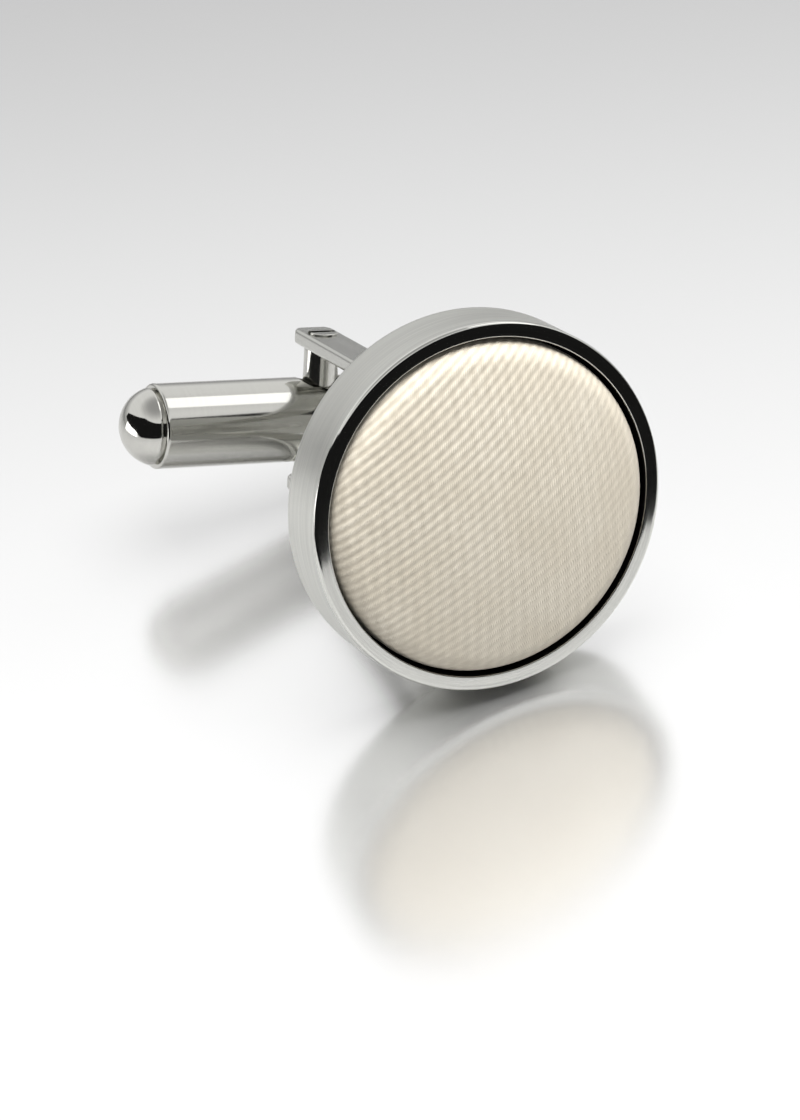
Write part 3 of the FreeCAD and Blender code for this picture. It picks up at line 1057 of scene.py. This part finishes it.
world = bpy.data.worlds.new("studio")
world.use_nodes = True
world.node_tree.nodes.clear()
bpy.context.scene.world = world
shade = Shade(world.node_tree)
ray_height = shade.coordinate("Generated").part("Z")
walls = ray_height.ramp(*wall_stretch).mix(grey(wall_low), grey(wall_high))
room = ray_height.ramp(*ceiling_stretch).mix(walls, grey(ceiling_tone))
background = seen_as_background(shade).mix(grey(room_bounce), room)
sky = shade.node("ShaderNodeBackground", {}, {"Color": background, "Strength": 1.0})
shade.node("ShaderNodeOutputWorld", {}, {"Surface": sky})


# Studio light: one large soft box overhead, a fill from the front left, a rim light from behind on the
# right, and a smaller box on the right that the metal mirrors. A black card in front and on the left, and a
# low white one behind its left end, show only in the link's reflections.
def soft_box(name, place, target, size, power, in_reflections):
    """A square area light at place that faces target."""
    lamp = bpy.data.lights.new(name, "AREA")
    lamp.size = size
    lamp.energy = power
    box = bpy.data.objects.new(name, lamp)
    towards = np.array(place, float) - np.array(target, float)
    towards /= np.linalg.norm(towards)
    nearly_upright = 0.9
    side_on = np.cross((0, 1, 0) if abs(towards[2]) > nearly_upright else (0, 0, 1), towards)
    side_on /= np.linalg.norm(side_on)
    stand = np.eye(4)
    stand[:3] = np.stack([side_on, np.cross(towards, side_on), towards, place], axis=1)
    box.matrix_world = Matrix(stand.tolist())
    box.visible_glossy = in_reflections
    bpy.context.scene.collection.objects.link(box)


soft_box("side_box", (0.38, 0.0, 0.46), (0, 0, 0), size=0.3, power=0.28, in_reflections=True)
soft_box("overhead", (0.07, 0.02, 0.62), (0, 0, 0.008), size=0.6, power=12.0, in_reflections=False)
soft_box("front_fill", (-0.5, -0.55, 0.3), (0, 0, 0.008), size=0.4, power=0.9, in_reflections=False)
soft_box("rim_light", (0.42, 0.2, 0.3), (0, -0.01, 0.008), size=0.25, power=0.9, in_reflections=False)


def standing_card(name, turns, distance, low, high, tone):
    """A curved upright card round the link, which only the link's own reflections show, not the table's.

    Turns are degrees from the front, and the card follows distance * (sin(turn), -cos(turn)). Its lower and
    upper edge, low and high, are each told as turns and the heights there. A ray that has met the table has
    gone through the clear film on it, and such rays go through the card too.
    """
    steps = 34
    turn = np.linspace(*turns, steps)
    around = np.radians(turn)
    place = distance * np.stack([np.sin(around), -np.cos(around)], axis=1)
    lower = np.column_stack([place, np.interp(turn, *low)])
    upper = np.column_stack([place, np.interp(turn, *high)])
    points = np.concatenate([lower, upper])
    index = np.arange(steps - 1)
    mesh = bpy.data.meshes.new(name)
    mesh.from_pydata(points, [], np.stack([index, index + 1, index + 1 + steps, index + steps], axis=1))
    card = bpy.data.objects.new(name, mesh)
    bpy.context.scene.collection.objects.link(card)
    material, shade = new_material(name)
    plain = shade.node("ShaderNodeEmission", {}, {"Color": (*grey(tone), 1.0), "Strength": 1.0})
    clear = shade.node("ShaderNodeBsdfTransparent", {}, {})
    past_film = shade.node("ShaderNodeLightPath", {}, {}, "Transparent Depth").ramp(0.0, 1.0)
    surface = shade.node("ShaderNodeMixShader", {}, {0: past_film, 1: plain, 2: clear})
    shade.node("ShaderNodeOutputMaterial", {}, {"Surface": surface})
    mesh.materials.append(material)
    card.visible_camera = False
    card.visible_diffuse = False
    card.visible_shadow = False
    card.visible_transmission = False


black_lower = ((-140, -105, -90, 5, 30), (0.0105, 0.0105, 0.0036, 0.0036, 0.0004))
black_upper = ((-140, -90), (0.015, 0.043))
standing_card("black_card", (-140, 70), 0.042, black_lower, black_upper, tone=0.012)
white_lower = ((-130, -95), (0.0, 0.0))
white_upper = ((-130, -95), (0.014, 0.014))
standing_card("white_card", (-130, -95), 0.06, white_lower, white_upper, tone=3.4)

bpy.context.scene.view_settings.view_transform = "Standard"
